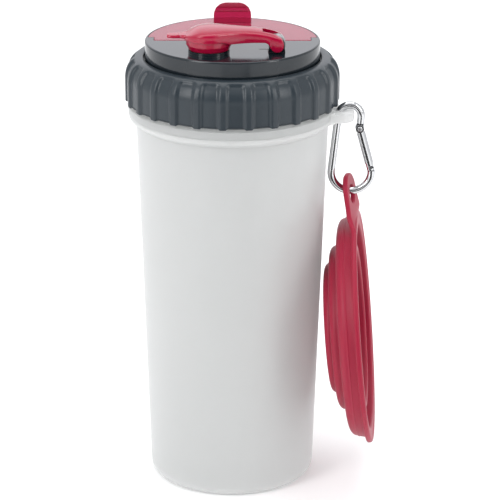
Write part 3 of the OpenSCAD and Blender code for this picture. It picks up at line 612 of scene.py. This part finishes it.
def tab_mesh():
    """The tab with its round end and the hole that flares to both faces."""
    over, tip_r, half_t, e = 0.8, 10.0, 1.25, 1.0
    mid = HOLE_Y + over
    top = mid + tip_r
    ys = list(np.linspace(-3, -0.6, 3)) + list(np.linspace(-0.2, 5, 18)) + list(np.linspace(5.6, mid, 16))
    ys += list(mid + tip_r * np.sin(np.linspace(0.06, math.pi / 2 - 0.03, 34)))
    side_y = [-3, -0.6, 0.4, 1.4, 2.7, 3.4, 4.4, 6, 8, 11, mid]
    side_w = [20.5, 19.4, 17.6, 15.9, 14.2, 13.5, 12.8, 11.9, 11.2, 10.5, tip_r]
    rows = []
    for y in ys:
        if y > mid:
            w = math.sqrt(max(0.0, tip_r ** 2 - (y - mid) ** 2))
        else:
            w = float(np.interp(y, side_y, side_w))
        t = half_t
        if top - y < e:
            t = half_t - e + math.sqrt(max(0.01, e * e - (e - (top - y)) ** 2))
        c = min(e, t * 0.8, w * 0.45)
        row = []
        for sx, sz in ((1, 1), (-1, 1), (-1, -1), (1, -1)):
            arc_pts = [(sx * (w - c + c * math.cos(q)), sz * (t - c + c * math.sin(q)))
                       for q in np.linspace(0, math.pi / 2, 6)]
            if sx * sz < 0:
                arc_pts.reverse()
            row += arc_pts
            if sx == sz:
                row += [(sx * (w - c) * (1 - 2 * k / 14), sz * t) for k in range(1, 14)]
        rows.append([in_tab(x, y, z) for x, z in row])
    verts, faces = capped(rows)
    o = piece("tab", verts, faces, RUBBER, None, 0)
    flare = [(HOLE_R + 0.8 * (1 - math.cos(q)), -0.45 - 0.8 * math.sin(q))
             for q in np.linspace(math.pi / 2, 0, 6)]
    flare = [(6.4, -2.4), (5.8, -1.5)] + flare
    flare += [(r, -z) for r, z in reversed(flare)]
    rings = [[in_tab(r * math.cos(q), HOLE_Y + r * math.sin(q), z)
              for q in np.linspace(0, 2 * math.pi, 64, endpoint=False)] for r, z in flare]
    verts, faces = capped(rings)
    cut_with(o, piece("cutter", verts, faces, spare, None, 0))
    return o


def bowl_ring(name, points, body):
    """A ring of the bowl, turned about its axis."""
    o = lathe(name, points, RUBBER, body, 240, in_bowl, True, 32)
    return o


def bowl_web(name, r_out, t_out, r_in, t_in, bulge):
    """A thin fold between two rings that follows one ring at each end."""
    half_t = 0.42
    mid = []
    n = 16
    for k in range(n + 1):
        u = k / n
        sway = bulge * math.sin(2 * math.pi * u)
        mid.append((r_out + (r_in - r_out) * u + sway, -(t_out + (t_in - t_out) * u)))
    mid = np.array(mid)
    tangent = np.gradient(mid, axis=0)
    tangent /= np.linalg.norm(tangent, axis=1)[:, None]
    normal = np.c_[-tangent[:, 1], tangent[:, 0]] * half_t
    prof = list(map(tuple, mid + normal)) + list(map(tuple, (mid - normal)[::-1]))
    o = lathe(name, prof, RUBBER, None, 200, in_bowl, True, 60)
    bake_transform(o)
    return o


def bowl():
    """The rim with its tab, the second ring, the base cup and the webs between them."""
    rim = fillet([(53.7, -5.0, 0), (53.7, -0.45, 1.1), (57.3, -0.5, 0.6), (58.3, 0, 0.5), (RIM_R, 0, 1.3),
                  (RIM_R, -2.8, 1.35), (59.2, -2.8, 0.3), (58.45, -2.7, 0.3), (58.15, -3.7, 0.4),
                  (57.55, -6.4, 0.4), (57.75, -6.75, 0.25), (57.3, -7.3, 0)], 6)
    rim += corner(50.9, -7.7, 6.2, 3.9)
    rim += [(49.8, -11.5), (49.3, -11.2), (49.2, -10.7), (49.5, -10.2)]
    rim += corner(50.4, -7.2, 3.3, 2.8)[::-1]
    o = lathe("bowl_rim_shell", rim, RUBBER, None, 240, in_bowl, True, 32)
    tab = tab_mesh()
    m = o.modifiers.new("join", "BOOLEAN")
    m.operation, m.solver, m.object = "UNION", "EXACT", tab
    apply_all(o)
    bpy.data.objects.remove(tab)
    one_skin(o, RUBBER, 32)
    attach(o, "bowl")
    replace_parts(o, "bowl_rim")
    step = fillet([(40.6, -9.0, 0), (40.6, -2.4, 1.3), (43.4, -2.4, 1.3), (43.4, -12.0, 0.5),
                   (43.1, -12.9, 0)], 6)
    step += corner(38.6, -13.0, 4.5, 3.5)
    step += [(37.7, -16.4), (37.3, -16.0), (37.25, -15.5), (37.6, -15.0)]
    step += corner(38.2, -12.2, 2.4, 2.6)[::-1]
    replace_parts(bowl_ring("bowl_step_shell", step, "bowl_step"), "bowl_step")
    base = [(0.001, -17.75)]
    base += fillet([(8, -17.7, 0), (18.4, -17.7, 0.3), (19.0, -17.4, 0.3), (19.6, -17.7, 0.3),
                    (31.6, -17.7, 3.0), (31.6, -7.3, 1.3), (34.4, -7.3, 1.3),
                    (34.4, -16.0, 0.4), (34.2, -16.8, 0)], 6)
    base += corner(30.4, -16.9, 3.8, 3.0)
    base += fillet([(29.0, -19.9, 0), (26.6, -19.9, 0.4), (26.0, -19.5, 0.4), (20, -19.5, 0)], 4)
    base += [(0.001, -19.5)]
    o = lathe("bowl_base_shell", base, RUBBER, "bowl_base", 240, in_bowl, False, 32)
    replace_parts(o, "bowl_base")
    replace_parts(bowl_web("bowl_web_outer", 49.9, 10.7, 43.6, 3.2, 0.5),
                "bowl_fold_outer")
    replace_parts(bowl_web("bowl_web_inner", 37.8, 15.4, 34.5, 8.2, 0.3),
                "bowl_fold_inner")


# The soft parts of the lid
def gasket():
    """The ring on the neck and the bar over the wall, both grooved along their middle."""
    low, high = NECK_Z + 0.02, NECK_Z + 1.18
    low_groove, high_groove = NECK_Z + 0.22, NECK_Z + 0.95
    ring = fillet([(46.0, low, 0), (46.0, high, 0.2), (46.6, high, 0.2), (46.9, high_groove, 0.2),
                   (47.3, high_groove, 0.2), (47.6, high, 0.2), (48.2, high, 0.2),
                   (48.2, low, 0.2), (47.6, low, 0.2), (47.3, low_groove, 0.2),
                   (46.9, low_groove, 0.2), (46.6, low, 0)], 3)
    o = lathe("gasket_ring", ring, WHITE, "lid", 180)
    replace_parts(o, "lid_gasket")
    rows = []
    for x in np.linspace(-46.4, 46.4, 24):
        rows.append([(x, -5.0, NECK_Z + 0.2), (x, -5.0, NECK_Z + 1.0), (x, -4.7, high), (x, -3.6, high),
                     (x, -3.3, high_groove), (x, -2.7, high_groove), (x, -2.4, high), (x, -1.3, high),
                     (x, -1.0, NECK_Z + 1.0), (x, -1.0, NECK_Z + 0.2), (x, -1.3, low), (x, -4.7, low)])
    verts, faces = capped(rows)
    piece("gasket_bar", verts, faces, WHITE, "lid", 45)


def food_outline(n=8):
    """The food opening's edge and its outward directions, seen from above."""
    r, y0, rr = 38.2, 4.5, 4.0
    cy = y0 + rr
    cx = math.sqrt((r - rr) ** 2 - cy ** 2)
    out = []
    a0 = math.atan2(cy, cx)
    for t in np.linspace(a0, math.pi - a0, 90):
        out.append(((r * math.cos(t), r * math.sin(t)), (math.cos(t), math.sin(t))))
    for t in np.linspace(math.pi - a0, 1.5 * math.pi, n)[1:]:
        out.append(((-cx + rr * math.cos(t), cy + rr * math.sin(t)), (math.cos(t), math.sin(t))))
    for x in np.linspace(-cx, cx, 30)[1:-1]:
        out.append(((x, y0), (0, -1)))
    for t in np.linspace(-math.pi / 2, a0, n)[:-1]:
        out.append(((cx + rr * math.cos(t), cy + rr * math.sin(t)), (math.cos(t), math.sin(t))))
    return out


def flap_seal():
    """The seal that follows the food opening's edge under the flap."""
    z1 = DISC_Z - 1.8
    z0 = z1 - 0.6
    section = fillet([(-2.2, z1 - 0.02, 0), (1.5, z1 - 0.02, 0.25), (1.5, z0, 0.25), (0.0, z0, 0.1),
                      (-0.5, z0 - 0.1, 0.2), (-0.55, z0 - 1.55, 0.3), (-1.3, z0 - 1.6, 0.3),
                      (-2.2, z0 - 0.9, 0.4), (-2.2, z1 - 0.3, 0)], 4)
    rows = []
    for (x, y), (nx, ny) in food_outline():
        rows.append([(x + nx * d, y + ny * d, z) for d, z in section])
    verts, faces = net(rows, closed_rows=True)
    o = piece("flap_seal_lip", verts, faces, WHITE, "flap", 45)
    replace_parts(o, "flap_seal")


def plug():
    """The silicone plug in the cap, with one groove round it."""
    z = DISC_Z
    prof = [(0.001, z - 1.45)]
    prof += fillet([(2, z - 1.5, 0), (7.2, z - 1.6, 0.9), (8.2, z + 0.1, 0.5), (7.9, z + 0.6, 0.3),
                    (8.2, z + 1.1, 0.3), (8.15, z + 2.0, 0.2), (8.7, z + 2.0, 0.2),
                    (8.7, z + 8.1, 0.5), (4, z + 8.2, 0)], 4)
    prof += [(0.001, z + 8.2)]
    o = lathe("plug_shell", prof, WHITE, "arm", 96, at_spout, False)
    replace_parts(o, "spout_plug")


# The setting: floor, lights, the card that bright metal reflects, and the world
def scene_floor():
    """A plain pale floor."""
    s = 8.0
    me = bpy.data.meshes.new("floor")
    me.from_pydata([(-s, -s, 0), (s, -s, 0), (s, s, 0), (-s, s, 0)], [], [(0, 1, 2, 3)])
    floor = bpy.data.objects.new("floor", me)
    bpy.context.scene.collection.objects.link(floor)
    m, _, b = new_material("floor")
    b.inputs["Base Color"].default_value = (0.92, 0.92, 0.92, 1)
    b.inputs["Roughness"].default_value = 0.7
    b.inputs["Specular IOR Level"].default_value = 0.2
    b.inputs["Emission Color"].default_value = (1, 1, 1, 1)
    b.inputs["Emission Strength"].default_value = 0.12
    me.materials.append(m)


def area_light(name, at, to, size, watts, size_y=None, color=(1, 1, 1)):
    """A soft light at one point, turned to another; metres and watts."""
    data = bpy.data.lights.new(name, "AREA")
    data.energy, data.size, data.color = watts, size, color
    if size_y:
        data.shape, data.size_y = "RECTANGLE", size_y
    o = bpy.data.objects.new(name, data)
    bpy.context.scene.collection.objects.link(o)
    o.location = at
    o.rotation_euler = (Vector(to) - Vector(at)).to_track_quat("-Z", "Y").to_euler()


def dark_card():
    """A black card below the lens, seen only in reflections, as bright metal is lit."""
    left, right, near, far, height = -0.18, 0.30, -0.80, -0.22, 0.002
    verts = [(left, near, height), (right, near, height), (right, far, height), (left, far, height)]
    me = bpy.data.meshes.new("dark_card")
    me.from_pydata(verts, [], [(0, 1, 2, 3)])
    card = bpy.data.objects.new("dark_card", me)
    bpy.context.scene.collection.objects.link(card)
    m, _, b = new_material("dark_card")
    b.inputs["Base Color"].default_value = (0.012, 0.012, 0.012, 1)
    b.inputs["Roughness"].default_value = 0.9
    me.materials.append(m)
    card.visible_camera = False
    card.visible_diffuse = False
    card.visible_shadow = False
    card.visible_transmission = False


def world():
    """White all round, and dark towards the viewer, as in a product tent with one opening."""
    w = bpy.data.worlds.new("studio")
    bpy.context.scene.world = w
    w.use_nodes = True
    nt = w.node_tree
    bg = nt.nodes["Background"]
    tc = nt.nodes.new("ShaderNodeTexCoord")
    sep = nt.nodes.new("ShaderNodeSeparateXYZ")
    nt.links.new(tc.outputs["Generated"], sep.inputs["Vector"])
    ramp = nt.nodes.new("ShaderNodeMapRange")
    ramp.interpolation_type = "SMOOTHSTEP"
    ramp.inputs["From Min"].default_value = -0.97
    ramp.inputs["From Max"].default_value = -0.72
    ramp.inputs["To Min"].default_value = 0.06
    ramp.inputs["To Max"].default_value = 0.85
    nt.links.new(sep.outputs["Y"], ramp.inputs["Value"])
    nt.links.new(ramp.outputs["Result"], bg.inputs["Strength"])
    bg.inputs["Color"].default_value = (0.97, 0.98, 1.0, 1)


place_camera()
paint_nodes()
collar()
band_strip()
threads()
arm()
arm_cap()
thumb()
roller()
lift_tab()
bowl()
gasket()
flap_seal()
plug()
scene_floor()
dark_card()
world()
area_light("key", (-1.0, -0.9, 0.9), (0, 0, 0.15), 0.5, 9, 1.2)
area_light("fill", (1.1, -0.8, 0.8), (0, 0, 0.15), 0.4, 6, 1.1)
area_light("top", (0.0, 0.3, 1.9), (0, 0, 0.1), 1.6, 14)
area_light("back", (0.0, 1.7, 0.95), (0, 0, 0.24), 2.6, 4.5, 0.9, (0.92, 0.92, 1.0))
bpy.context.scene.view_settings.view_transform = "Standard"
